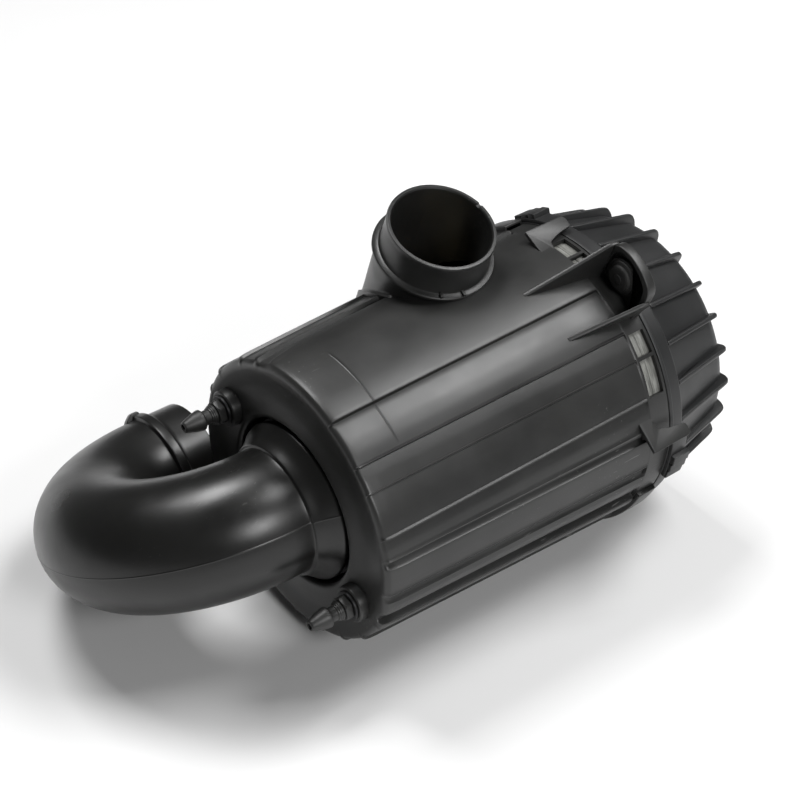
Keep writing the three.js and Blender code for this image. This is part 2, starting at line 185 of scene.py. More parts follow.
def new_object(name, vertices, faces):
    """Object with merged vertices and faces that look outwards."""
    mesh = bpy.data.meshes.new(name)
    mesh.from_pydata([tuple(map(float, v)) for v in vertices], [], faces)
    bm = bmesh.new()
    bm.from_mesh(mesh)
    bmesh.ops.remove_doubles(bm, verts=bm.verts, dist=1e-5)
    bmesh.ops.recalc_face_normals(bm, faces=bm.faces)
    bm.to_mesh(mesh)
    bm.free()
    obj = bpy.data.objects.new(name, mesh)
    bpy.context.scene.collection.objects.link(obj)
    return obj


def loft(name, rings, closed=False):
    """Skin over rings of points. A ring of one point is a pole; open ends are capped."""
    vertices, faces, starts = [], [], []
    for ring in rings:
        starts.append(len(vertices))
        vertices.extend(ring)
    pairs = list(zip(range(len(rings)), range(1, len(rings))))
    if closed:
        pairs.append((len(rings) - 1, 0))
    for i, j in pairs:
        a, b, na, nb = starts[i], starts[j], len(rings[i]), len(rings[j])
        n = max(na, nb)
        for k in range(n):
            m = (k + 1) % n
            if na == 1:
                faces.append((a, b + m, b + k))
            elif nb == 1:
                faces.append((a + k, a + m, b))
            else:
                faces.append((a + k, a + m, b + m, b + k))
    if not closed:
        for i in (0, len(rings) - 1):
            if len(rings[i]) > 1:
                faces.append(tuple(range(starts[i], starts[i] + len(rings[i]))))
    return new_object(name, vertices, faces)


def circle_points(x, r, count, centre):
    """Ring of points around an axis along X, or one point where the radius is nothing."""
    if r < 1e-6:
        return [(x, centre[0], centre[1])]
    turn = np.linspace(0, 2 * math.pi, count, endpoint=False)
    return [(x, centre[0] - r * math.sin(t), centre[1] + r * math.cos(t)) for t in turn]


def lathe(name, profile, count=96, centre=(0, 0), rounding=0.5, solid=False):
    """Turns a profile of (x, r) points around an axis along X.

    A solid's profile starts and ends on the axis; any other profile is a closed outline.
    """
    points = soften(profile, rounding, closed=not solid)
    return loft(name, [circle_points(x, r, count, centre) for x, r in points], closed=not solid)


def slab(name, outline, place, low, high, corner=1.0, rim=0.5):
    """Flat plate with rounded corners and rims. place(a, b, c) puts point (a, b) of the outline at depth c."""
    shape = soften(outline, corner, steps=5)
    rings = []
    for k in range(4):
        t = math.radians(90 * k / 3)
        rings.append((low + rim * (1 - math.sin(t)), rim * (1 - math.cos(t))))
    rings = rings[::-1]
    rings += [(high - (d - low), inward) for d, inward in rings[::-1]]
    layers = []
    for depth, inward in rings:
        layers.append([place(a, b, depth) for a, b in inset(shape, inward)])
    return loft(name, layers)


def along_x(a, b, c):
    """Places (y, z) outlines across the axis, with their depth along X."""
    return (c, a, b)


def radial_plane(angle):
    """Places (x, radius) outlines in the plane through the axis at one angle."""
    y, z = polar(1, angle)

    def place(a, b, c):
        return (a, b * y - c * z, b * z + c * y)
    return place


def twisted_plane(start, first, last):
    """Like radial_plane, but its angle runs from first at x = start to last at the parting line."""
    def place(a, b, c):
        return radial_plane(first + (last - first) * (a - start) / -start)(a, b, c)
    return place


def arc_outline(inner, outer, start, end, steps):
    """Outline of a sector of a ring, seen along the axis."""
    turn = np.linspace(start, end, steps + 1)
    return [polar(outer, t) for t in turn] + [polar(inner, t) for t in turn[::-1]]


def combine(base, tools, operation):
    """Applies solid operations one after another, then removes the tools."""
    for tool in tools:
        modifier = base.modifiers.new(operation, "BOOLEAN")
        modifier.solver = "MANIFOLD"
        modifier.operation = operation
        modifier.object = tool
    graph = bpy.context.evaluated_depsgraph_get()
    mesh = bpy.data.meshes.new_from_object(base.evaluated_get(graph))
    if not len(mesh.polygons):
        raise RuntimeError("a solid operation left nothing of " + base.name)
    base.modifiers.clear()
    base.data = mesh
    for tool in tools:
        bpy.data.objects.remove(tool)
    return base


def join(name, objects):
    """Puts separate solids into one object."""
    bm = bmesh.new()
    for obj in objects:
        bm.from_mesh(obj.data)
        bpy.data.objects.remove(obj)
    mesh = bpy.data.meshes.new(name)
    bm.to_mesh(mesh)
    bm.free()
    obj = bpy.data.objects.new(name, mesh)
    bpy.context.scene.collection.objects.link(obj)
    return obj


def finish_piece(obj, name, material, body, slot, *nodes, sharp=32):
    """Moves a finished shape to the row frame, shades it and says which body and CAD parts it belongs to."""
    obj.name = name
    obj.data.name = name
    obj.data.transform(TO_ROW)
    obj.data.polygons.foreach_set("use_smooth", [True] * len(obj.data.polygons))
    obj.data.set_sharp_from_angle(angle=math.radians(sharp))
    obj.data.materials.clear()
    obj.data.materials.append(material)
    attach(obj, body)
    if nodes:
        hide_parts(*nodes)
    return obj


# ---------------------------------------------------------------- materials

class Nodes:
    """Short names for building a material's nodes."""

    def __init__(self, name):
        self.material = bpy.data.materials.new(name)
        self.material.use_nodes = True
        self.tree = self.material.node_tree
        self.tree.nodes.clear()
        self.out = self.add("ShaderNodeOutputMaterial")
        self.shader = self.add("ShaderNodeBsdfPrincipled")
        self.link(self.shader.outputs[0], self.out.inputs[0])
        self.coords = self.add("ShaderNodeTexCoord").outputs["Object"]

    def add(self, kind, **values):
        node = self.tree.nodes.new(kind)
        for key, value in values.items():
            setattr(node, key, value)
        return node

    def link(self, a, b):
        self.tree.links.new(a, b)

    def scaled(self, scale):
        """Object coordinates, stretched along each axis."""
        node = self.add("ShaderNodeMapping")
        node.inputs["Scale"].default_value = scale
        self.link(self.coords, node.inputs["Vector"])
        return node.outputs[0]

    def noise(self, scale, detail=4, stretch=(1, 1, 1), roughness=0.55):
        node = self.add("ShaderNodeTexNoise")
        node.inputs["Scale"].default_value = scale
        node.inputs["Detail"].default_value = detail
        node.inputs["Roughness"].default_value = roughness
        self.link(self.scaled(stretch), node.inputs["Vector"])
        return node.outputs["Fac"]

    def ramp(self, value, low, high, a=0.0, b=1.0):
        """Runs from a to b while the value runs from low to high."""
        node = self.add("ShaderNodeMapRange")
        node.clamp = True
        for key, number in zip(("From Min", "From Max", "To Min", "To Max"), (low, high, a, b)):
            node.inputs[key].default_value = number
        self.link(value, node.inputs["Value"])
        return node.outputs[0]

    def mix(self, fac, a, b):
        """Blend of two colours, each a tuple or a socket."""
        node = self.add("ShaderNodeMix", data_type="RGBA")
        for socket, value in ((node.inputs[0], fac), (node.inputs[6], a), (node.inputs[7], b)):
            if isinstance(value, (tuple, list)):
                socket.default_value = (*value, 1)
            else:
                self.link(value, socket)
        return node.outputs[2]

    def maths(self, operation, *operands):
        """Math node whose operands are numbers or sockets."""
        node = self.add("ShaderNodeMath", operation=operation)
        for socket, value in zip(node.inputs, operands):
            if isinstance(value, (int, float)):
                socket.default_value = value
            else:
                self.link(value, socket)
        return node.outputs[0]

    def bump(self, height, distance, strength=1.0, base=None):
        node = self.add("ShaderNodeBump")
        node.inputs["Strength"].default_value = strength
        node.inputs["Distance"].default_value = distance
        self.link(height, node.inputs["Height"])
        if base is not None:
            self.link(base, node.inputs["Normal"])
        return node.outputs[0]


def moulded_plastic(name, dark, light, rough, grain=0.00004, streak=0.3, scuff_and_glint_amount=0.5):
    """Black moulded plastic: fine grain, faint flow streaks along the axis, cloudy wear, and light grey scuffs
    that are partly painted highlights standing for small glints.
    """
    n = Nodes(name)
    cloud = n.ramp(n.noise(16, 5), 0.35, 0.68)
    flow = n.ramp(n.noise(30, 3, stretch=(0.12, 1, 1)), 0.4, 0.7)
    body = n.mix(n.maths("MULTIPLY_ADD", flow, streak, n.maths("MULTIPLY", cloud, 0.7)), dark, light)
    # Light grey specks and scratches in the worn patches: partly scuff wear, partly painted highlights standing
    # for small glints on the ribs.
    speck_and_glint = n.ramp(n.noise(420, 2), 0.70, 0.74)
    scratch_and_glint = n.ramp(n.noise(90, 2, stretch=(0.5, 5, 5)), 0.69, 0.72)
    worn = n.ramp(n.noise(7, 2), 0.52, 0.66)
    scuffs_and_glints = n.maths("MULTIPLY", n.maths("MAXIMUM", speck_and_glint, scratch_and_glint), n.maths("MULTIPLY", worn, scuff_and_glint_amount))
    n.link(n.mix(scuffs_and_glints, body, (0.16, 0.16, 0.155)), n.shader.inputs["Base Color"])
    dull = n.ramp(n.noise(24, 4), 0.3, 0.7, rough - 0.05, rough + 0.06)
    n.link(n.maths("ADD", dull, n.maths("MULTIPLY", scuffs_and_glints, 0.15)), n.shader.inputs["Roughness"])
    fine = n.noise(2600, 2)
    waves = n.noise(60, 3)
    n.link(n.bump(fine, grain, base=n.bump(waves, 0.00025, 0.35)), n.shader.inputs["Normal"])
    n.shader.inputs["IOR"].default_value = 1.49
    return n.material


def rubber_material():
    """Black rubber with a little dust."""
    n = Nodes("rubber")
    tone = n.mix(n.ramp(n.noise(55, 4), 0.35, 0.7), (0.006, 0.006, 0.006), (0.014, 0.014, 0.013))
    dust = n.maths("MULTIPLY", n.ramp(n.noise(300, 3), 0.62, 0.75), 0.35)
    n.link(n.mix(dust, tone, (0.06, 0.058, 0.053)), n.shader.inputs["Base Color"])
    n.link(n.ramp(n.noise(120, 3), 0.3, 0.7, 0.58, 0.74), n.shader.inputs["Roughness"])
    n.link(n.bump(n.noise(1500, 3), 0.00006), n.shader.inputs["Normal"])
    return n.material


def seal_material():
    """Light grey seal ring with brushed streaks around the rim."""
    n = Nodes("grey_seal")
    streak = n.ramp(n.noise(70, 5, stretch=(9, 1, 1), roughness=0.7), 0.34, 0.66)
    patch = n.ramp(n.noise(38, 3), 0.36, 0.62)
    base = n.mix(streak, (0.075, 0.076, 0.070), (0.27, 0.272, 0.255))
    n.link(n.mix(n.maths("MULTIPLY", patch, 0.45), base, (0.13, 0.13, 0.115)), n.shader.inputs["Base Color"])
    n.link(n.ramp(streak, 0, 1, 0.42, 0.62), n.shader.inputs["Roughness"])
    n.link(n.bump(n.noise(900, 3, stretch=(6, 1, 1)), 0.00008), n.shader.inputs["Normal"])
    return n.material


def steel_material(name, dark, light, metallic, smoothest, roughest):
    """Steel with cloudy patches in its colour and its gloss."""
    n = Nodes(name)
    patch = n.ramp(n.noise(170, 4), 0.35, 0.7)
    n.link(n.mix(patch, dark, light), n.shader.inputs["Base Color"])
    n.shader.inputs["Metallic"].default_value = metallic
    n.link(n.ramp(n.noise(420, 3), 0.3, 0.7, smoothest, roughest), n.shader.inputs["Roughness"])
    n.link(n.bump(n.noise(900, 3), 0.00005), n.shader.inputs["Normal"])
    return n.material


def paper_material():
    """Yellowish filter paper with fibres and darker spots."""
    n = Nodes("filter_paper")
    fibre = n.noise(1400, 5, stretch=(0.25, 1, 1), roughness=0.7)
    tone = n.mix(n.ramp(n.noise(60, 4), 0.35, 0.7), (0.50, 0.42, 0.24), (0.68, 0.60, 0.39))
    spots = n.maths("MULTIPLY", n.ramp(fibre, 0.55, 0.75), 0.5)
    n.link(n.mix(spots, tone, (0.36, 0.29, 0.15)), n.shader.inputs["Base Color"])
    n.link(n.ramp(fibre, 0.3, 0.7, 0.8, 0.95), n.shader.inputs["Roughness"])
    n.link(n.bump(fibre, 0.00012), n.shader.inputs["Normal"])
    return n.material


def foam_material():
    """Orange cast foam with fine pores."""
    n = Nodes("polyurethane")
    cloud = n.ramp(n.noise(45, 4), 0.35, 0.7)
    tone = n.mix(cloud, (0.34, 0.070, 0.022), (0.47, 0.115, 0.040))
    pores = n.ramp(n.noise(1100, 2), 0.66, 0.74)
    n.link(n.mix(n.maths("MULTIPLY", pores, 0.6), tone, (0.14, 0.025, 0.010)), n.shader.inputs["Base Color"])
    n.link(n.ramp(cloud, 0, 1, 0.5, 0.66), n.shader.inputs["Roughness"])
    n.link(n.bump(n.noise(1100, 2), 0.00008), n.shader.inputs["Normal"])
    return n.material


HOUSING = moulded_plastic("housing_plastic", (0.0105, 0.0107, 0.0105), (0.022, 0.0221, 0.0213), 0.385,
                          scuff_and_glint_amount=1.0)
COVER = moulded_plastic("cover_plastic", (0.0100, 0.0103, 0.0105), (0.0190, 0.0194, 0.0198), 0.44,
                        streak=0.2)
ELBOW = moulded_plastic("elbow_plastic", (0.0050, 0.0050, 0.0048), (0.0085, 0.0085, 0.0080), 0.32,
                        grain=0.000012, streak=0.15, scuff_and_glint_amount=0.3)
PIN = moulded_plastic("pin_plastic", (0.012, 0.012, 0.0118), (0.026, 0.026, 0.025), 0.42, grain=0.00006)
RUBBER = rubber_material()
SEAL = seal_material()
STEEL = steel_material("zinc_steel", (0.30, 0.31, 0.32), (0.55, 0.56, 0.57), 1.0, 0.28, 0.5)
DARK_STEEL = steel_material("dark_steel", (0.020, 0.020, 0.021), (0.045, 0.045, 0.046), 0.6, 0.36, 0.55)
PAPER = paper_material()
FOAM = foam_material()


# ---------------------------------------------------------------- housing body

# Height over the plain cone at each angle around the body.
RELIEF = [
    # two ribs beside the inlet, then the raised panel on top
    (-36.0, 0.0), (-34.9, 0.0), (-34.5, 1.8), (-33.4, 1.8), (-33.0, 0.0),
    (-24.0, -0.3), (-23.5, 2.0), (-21.9, 2.0), (-21.3, -0.8), (-19.2, -0.8),
    (-18.5, -0.3), (-17.9, 1.9), (-16.0, 2.1), (4.0, 2.3), (22.0, 2.1), (23.9, 2.1), (24.35, 1.8),
    (24.75, -0.8),
    # three thin lips, with a step down after each
    (26.5, -0.2), (33.0, 0.3), (38.0, 0.3), (42.1, 0.1), (42.45, 1.0), (42.9, 0.9), (43.2, -0.9), (45.0, -0.6),
    (48.0, -0.1), (52.5, 0.0), (52.75, 0.65), (53.15, 0.55), (53.4, -0.8), (55.5, -0.4), (60.0, 0.0),
    (68.4, 0.2), (68.9, 1.4), (69.4, 1.3), (69.8, -1.3), (71.5, -0.9), (74.0, -0.1),
    # three deep channels low on the side
    (78.3, 0.3), (79.1, 1.1), (79.6, 0.8), (80.0, -3.4), (81.6, -3.5), (83.6, -1.6), (84.1, -0.2), (84.7, 0.1),
    (90.0, 0.3), (94.9, 0.3), (95.6, 1.1), (96.1, 0.7), (96.5, -3.7), (98.6, -3.8), (100.8, -1.4), (101.4, 0.0),
    (103.5, 0.9), (106.0, 0.9), (108.2, 0.1), (110.0, -2.2), (112.0, -3.4), (114.4, -3.4),
    # broad rib above the underside
    (115.0, 1.3), (115.5, 1.9), (118.4, 1.9), (118.9, -0.4), (121.0, 0.0),
]
# The hidden side carries plain ribs.
BACK_RIBS = [132, 148, 164, 180, 196, 212, 228, 244, 260, 276, 292, 306]
RIB_FOOT, RIB_TOP, RIB_HEIGHT = 0.95, 0.6, 1.9
RIB = [(-RIB_FOOT, 0.0), (-RIB_TOP, RIB_HEIGHT), (RIB_TOP, RIB_HEIGHT), (RIB_FOOT, 0.0)]
RELIEF += [(middle + side, height) for middle in BACK_RIBS for side, height in RIB]
RELIEF_ANGLES = np.array([a for a, _ in RELIEF])
RELIEF_HEIGHTS = np.array([h for _, h in RELIEF])
RELIEF_END_X = -18.2
SHOULDER_X = -236
WIDEST_COLUMN = 1.1

# A thin moulded line runs around part of the body here: its foot, its crest and its foot again.
WELD_X = [-207.5, -207.8, -208.1, -208.4]
WELD_ANGLES = (-1, 40)
WELD_HEIGHT = 0.16


def sample_angles():
    """Angles of the grid's columns: every break of the relief, and fill-in between them."""
    scuffs_and_glints = list(RELIEF_ANGLES) + [RELIEF_ANGLES[0] + 360]
    angles = []
    for a, b in zip(scuffs_and_glints, scuffs_and_glints[1:]):
        n = max(1, math.ceil((b - a) / WIDEST_COLUMN))
        angles += [a + (b - a) * k / n for k in range(n)]
    return np.array(angles)


def drift(angles, x):
    """How far the relief's edges run off the straight along the body, in degrees.

    The raised panel's far edge swings out towards the front, one lip runs at a slant, and the channels' edges
    close up at the nose.
    """
    panel_edge = 6.0 * math.exp((SHOULDER_X - x) / 25) if x > SHOULDER_X else 6.0 + (SHOULDER_X - x) * 0.35
    slant = 1.6 * (-x - LENGTH / 2) / (LENGTH / 2)
    nose = np.clip((-229 - x) / 19, 0, 1) ** 2
    moves = [
        (-40, 0), (-19.5, 0.2 * panel_edge), (-17.0, panel_edge), (2, 0), (53.3, 0), (69.3, slant),
        (79.5, 0.2 * slant), (79.8, 0), (83.7, -2.6 * nose), (88, 0), (96.3, 0), (101, -3.2 * nose), (105, 0),
        (109, -1.5 * nose), (115.6, -4.0 * nose), (121, 0), (320, 0),
    ]
    return np.interp(angles, [angle for angle, _ in moves], [move for _, move in moves])


def sorted_in(points, extra):
    """Adds points to the cone of a profile, where their x belongs."""
    result = list(points)
    for x, r in sorted(extra):
        for i in range(len(result) - 1):
            if result[i][0] < x < result[i + 1][0] and result[i][1] > FRONT_R - 1:
                result.insert(i + 1, (x, r))
                break
    return result


def housing_outside():
    """Outer profile from the stub's end over the front recess and the cone to the rim."""
    cone_start = FRONT_X + 12
    profile = [
        (STUB_X, STUB_BORE_R), (STUB_X, STUB_R), (-226, STUB_R), (-226, 59.2, 1.5),
        (FRONT_X + 2.2, 60.4, 1.5), (FRONT_X + 0.3, 62.8, 2), (FRONT_X + 2.8, 80, 12), (FRONT_X + 0.4, 95.5, 3),
        (FRONT_X + 0.5, 99.4, 2), (FRONT_X + 2.6, FRONT_R - 0.2, 2.4), (cone_start, body_radius(cone_start)),
        (-18.4, body_radius(-18.4), 0.05), (-17.2, SEAM_R - 0.35, 0.4), (0, SEAM_R, 0.5), (0, RIM_BORE_R),
    ]
    points = resample(soften(profile, 1.0, closed=False), 3.2)
    return sorted_in(points, [(x, body_radius(x)) for x in WELD_X])


def housing_inside():
    """Inner profile from the rim back to the stub's end."""
    cone_start = FRONT_X + 8
    return soften([
        (0, RIM_BORE_R), (-20, RIM_BORE_R), (-21, body_radius(-20) - WALL - 0.2),
        (cone_start, body_radius(cone_start) - WALL - 0.4), (FRONT_X + 5, 94), (FRONT_X + 5.6, 80),
        (FRONT_X + 4, 65), (-223, 62), (-223, STUB_R), (-206, STUB_R), (-206, STUB_BORE_R),
        (STUB_X, STUB_BORE_R),
    ], 0.8, closed=False)


def body_shell():
    """The housing's wall: the profile turned around the axis, with the relief laid on the cone.

    The relief fades in over the front shoulder, leans forward there, and ends at the rim.
    """
    angles = sample_angles()
    relief = np.interp(angles, RELIEF_ANGLES, RELIEF_HEIGHTS, period=360)
    rings = []
    for x, r in housing_outside():
        before_rim = x < RELIEF_END_X
        weight = float(smoothstep((x + 246) / 9) * smoothstep((r - 95) / 7) * before_rim)
        turned = angles + drift(angles, x) * float(before_rim)
        radius = r + weight * relief
        if x in WELD_X[1:3]:
            radius = radius + WELD_HEIGHT * (turned > WELD_ANGLES[0]) * (turned < WELD_ANGLES[1])
        push = weight * 0.35 * relief * (x < SHOULDER_X)
        a = np.radians(turned)
        rings.append(np.stack([x - push, -radius * np.sin(a), radius * np.cos(a)], 1))
    a = np.radians(angles)
    for x, r in housing_inside()[1:-1]:
        rings.append(np.stack([np.full_like(a, x), -r * np.sin(a), r * np.cos(a)], 1))
    return loft("shell", rings, closed=True)


def inlet_place(a, b, c):
    """Point at (a along X, b across, c up the inlet's axis)."""
    t = math.radians(INLET_TILT)
    across = INLET_OFFSET + b
    return (INLET_X + a, across * math.cos(t) - c * math.sin(t), across * math.sin(t) + c * math.cos(t))


def inlet_ring(turn, radius, height):
    """Ring around the inlet's axis. Its radius and height are numbers or run around it."""
    radius, height = np.broadcast_to(radius, turn.shape), np.broadcast_to(height, turn.shape)
    return [inlet_place(r * math.cos(t), r * math.sin(t), h) for t, r, h in zip(turn, radius, height)]


def inlet_tube():
    """Outer form of the inlet: flared foot, neck, bead and rim."""
    turn = np.linspace(0, 2 * math.pi, 144, endpoint=False)
    surface = body_radius(INLET_X) + 2.0
    reach = INLET_OFFSET + INLET_R * np.sin(turn)
    meets = np.sqrt(np.maximum(surface ** 2 - reach ** 2, 0))
    fillet = 2.6 * smoothstep(meets / 60)
    rings = [[inlet_place(0, 0, 0)]]
    # The foot follows the body's surface, in steps of the fillet's height.
    steps = np.concatenate([[-1.0, -0.5], np.linspace(0, 1, 8), [1.6, 2.4, 4.0]])
    for k, step in enumerate(steps):
        height = meets + fillet * step - 1.0 if k else np.zeros_like(meets)
        grow = fillet * (1 - np.sqrt(np.clip(1 - np.clip(1 - step, 0, 1) ** 2, 0, 1)))
        highest = INLET_BEAD - 17 + 0.3 * k / len(steps)
        rings.append(inlet_ring(turn, INLET_R + 0.9 + grow, np.minimum(height, highest)))
    # Each level: its height from the bead or from the rim, and how far it stands out from the tube.
    levels = [(INLET_BEAD + rise, INLET_R + out) for rise, out in (
        (-14, 1.5), (-3.4, 0.9), (-2.4, 1.2), (-1.8, 4.2), (-0.9, 5.0), (0.6, 5.0), (1.2, 4.4), (1.3, 2.0),
        (1.9, 0.9), (4, 0.35))]
    levels += [(INLET_RIM + rise, INLET_R + out) for rise, out in (
        (-4.2, -0.1), (-3.6, 0.25), (-1.0, 0.3), (-0.25, 0.0), (0, -0.9))]
    rings += [inlet_ring(turn, radius, height) for height, radius in levels]
    rings.append([inlet_place(0, 0, INLET_RIM)])
    return loft("inlet", rings)


def inlet_bore():
    """Cutter for the inlet's inside, a little wider at the mouth."""
    turn = np.linspace(0, 2 * math.pi, 120, endpoint=False)
    levels = soften([(8, 0), (8, 34.2), (INLET_RIM - 1.2, 34.6), (INLET_RIM, 35.6), (INLET_RIM + 4, 36.2),
                     (INLET_RIM + 4, 0)], 0.6, closed=False)
    first, *walls, last = levels
    rings = [inlet_ring(turn, radius, height) for height, radius in walls]
    return loft("bore", [[inlet_place(0, 0, first[0])], *rings, [inlet_place(0, 0, last[0])]])


def inlet_block(name, angle, low, high, inner, outer, width, rim=0.25):
    """Small block on the inlet at one angle around its axis."""
    t = math.radians(angle)
    u, v = (math.cos(t), math.sin(t)), (-math.sin(t), math.cos(t))

    def place(a, b, c):
        return inlet_place(a * u[0] + b * v[0], a * u[1] + b * v[1], c)
    half = width / 2
    outline = [(inner, -half), (outer, -half), (outer, half), (inner, half)]
    return slab(name, outline, place, low, high, 0.5, rim)


def rear_lug():
    """Plate of the rear rubber mount, with a thick rim around a recessed face."""
    # Radius from the housing's axis, angle and rounding of each corner.
    outline = [(*polar(r, a), rounding) for r, a, rounding in (
        (111, 18.4, 0.1), (136, 18.6, 4), (147, 20.6, 6), (149.4, 25.6, 8), (147.6, 31.5, 8), (143, 36.2, 6),
        (131, 38.1, 5), (111, 39.4, 0.1))]
    plate = slab("lug", outline, along_x, -7.5, 0, 5, 0.9)
    inner = [polar(r, a) for r, a in (
        (108, 20.6), (136, 20.4), (144.3, 22.2), (146, 26.2), (144.2, 30.6), (140, 34.4), (130, 36.4),
        (108, 37.2))]
    pocket = slab("pocket", inner, along_x, -12, -3.6, 4, 0.5)
    return combine(plate, [pocket], "DIFFERENCE")


# Each gusset: where it starts, its angle there and at the lug, its height at the start and its top radius.
GUSSETS = [(-68, 14.2, 20.0, 2.3, 145), (-60, 35.8, 38.2, 0.5, 134)]
GUSSET_HALF = 1.4


def gusset(start, first, last, rise, top):
    """Slightly twisted web that runs up the body to an edge of the lug."""
    foot, half_way = body_radius(start), start / 2
    outline = [
        (start, foot - 2), (half_way, body_radius(half_way) - 2), (-0.8, SEAM_R - 1.2), (-0.8, top - 5),
        (-3, top - 0.6, 3), (-9, top - 1.0, 3), (half_way, (foot + rise + top) / 2), (start, foot + rise),
    ]
    return slab("gusset", outline, twisted_plane(start, first, last), -GUSSET_HALF, GUSSET_HALF, 1.0, 0.6)


# Each ear: angle of its foot, angle and radius of its outer edge.
EARS = [(74.8, 83.4, 125.9), (3.5, -7.6, 122.0), (254.8, 263.4, 125.9)]
EAR_START = -28
EAR_END = 8.0


def ear(foot, top, top_r):
    """Leaning ear on the rim: a flat plate whose tongue reaches over the cover's flange, and its webs."""
    way = 1 if top > foot else -1
    low = np.array(polar(SEAM_R - 1.4, foot))
    high = np.array(polar(top_r, top))
    reach = np.linalg.norm(high - low)
    up = (high - low) / reach
    side = np.array([up[1], -up[0]])
    if np.dot(side, np.array(polar(SEAM_R, foot + way * 6)) - low) > 0:
        side = -side

    def place(a, b, c):
        y, z = low + up * b + side * c
        return (a, y, z)
    outline = [
        (EAR_START, 0, 0.1), (EAR_START, reach, 0.9), (EAR_END, reach, 4.0), (EAR_END - 0.4, reach * 0.62, 2.2),
        (-5, reach * 0.55, 3.0), (-15.2, reach * 0.42, 1.5), (-16.4, reach * 0.2, 1.5), (-16.6, 0, 0.1),
    ]
    pieces = [slab("ear", outline, place, -2.8, 0.0, 1.0, 0.4)]
    # Each web behind the plate: where it starts and ends along X, and its share of the plate's height.
    for start, end, share in ((-25.5, -23.4, 0.55), (-18.6, -16.4, 0.95)):
        near = polar(SEAM_R - 1.6, foot + way * 1.0)
        crest = tuple(low + up * reach * share - side * 1.5)
        far = polar(SEAM_R - 1.6, foot + way * (3 + 8.4 * share))
        pieces.append(slab("web", [near, crest, far], along_x, start, end, 0.6, 0.3))
    return pieces


# Windows in the rim that show the seal ring: first and last angle of each.
WINDOWS = [
    (-45, -35), (-34, -24), (-1.5, 7.4), (8.6, 18.2), (43.9, 52.6), (53.9, 67.6), (197, 208), (209, 220),
]


def rod(start, end, radius, count, centre):
    """Round cutter along X."""
    return lathe("rod", [(start, 0), (start, radius), (end, radius), (end, 0)], count, centre, 0.1, solid=True)


def housing():
    """The whole moulding: shell, inlet, lug, ears, rim and bosses, with its windows and holes."""
    cavity = lathe("cavity", [
        (-206, 0), (-206, 62), (-222, 62.4), (-239, 65.4), (-237.4, 80), (-238, 93), (-234.8, 99),
        (-21, body_radius(-20) - WALL - 0.4), (-20.5, RIM_BORE_R - 0.1), (3, RIM_BORE_R - 0.1), (3, 0),
    ], 180, rounding=0.2, solid=True)
    parts = [combine(inlet_tube(), [cavity], "DIFFERENCE"), rear_lug()]
    parts += [gusset(*values) for values in GUSSETS]
    for values in EARS:
        parts += ear(*values)
    parts.append(slab("rim", arc_outline(SEAM_R - 1.6, 115.4, 112, 335, 90), along_x, -16.8, -0.5, 0.8, 0.7))
    pin_centres = [polar(PIN_ORBIT, angle) for angle in PIN_ANGLES.values()]
    boss = [(BOSS_X, 0), (BOSS_X, 12.3, 0.3), (-247.3, 13.1, 0.3), (-243.4, 13.3), (-233, 13.8), (-233, 0)]
    parts += [lathe("boss", boss, 64, centre, 0.5, solid=True) for centre in pin_centres]
    body = combine(body_shell(), parts, "UNION")
    cutters = [inlet_bore()]
    for start, end in WINDOWS:
        outline = arc_outline(RIM_BORE_R - 3, SEAM_R + 1.6, start, end, 8)
        cutters.append(slab("window", outline, along_x, -15.6, -2.4, 0.8, 0.01))
    cutters += [rod(-249, -236, PIN_HOLE_R, 32, centre) for centre in pin_centres]
    cutters.append(rod(-6, 1, BUFFER_HOLE_R, 48, polar(LUG_ORBIT, LUG_ANGLE)))
    cutters.append(inlet_block("notch", 6.5, INLET_RIM - 1.6, INLET_RIM + 3, 33, 40, 3.0, 0.1))
    body = combine(body, cutters, "DIFFERENCE")
    hose_stops = [
        inlet_block("stop", -121, STOP_FOOT, INLET_BEAD + 3.2, 36.9, 42.2, 2.0),
        inlet_block("stop", -98, STOP_FOOT, INLET_BEAD + 3.0, 36.9, 42.4, 2.4),
    ]
    return combine(body, hose_stops, "UNION")


finish_piece(housing(), "housing_shell", HOUSING, "housing", "housing_plastic", "housing_body")


# ---------------------------------------------------------------- outlet elbow

def elbow_frames(s):
    """Point on the centre line at arc length s from its start, and the two directions across it."""
    first = ELBOW_START_X - BEND_X
    bend = math.pi * BEND_R
    fall = math.radians(BEND_FALL)
    if s <= first:
        along, across, heading = ELBOW_START_X - s, 0.0, 0.0
    elif s <= first + bend:
        heading = (s - first) / BEND_R
        along = BEND_X - BEND_R * math.sin(heading)
        across = BEND_R * (1 - math.cos(heading))
    else:
        heading = math.pi
        along, across = BEND_X + (s - first - bend), 2 * BEND_R
    sideways = np.array([0, math.cos(fall), -math.sin(fall)])
    point = np.array([along, 0, 0]) + across * sideways
    outward = np.array([-math.sin(heading), 0, 0]) - math.cos(heading) * sideways
    upward = np.array([0, math.sin(fall), math.cos(fall)])
    return point, outward, upward


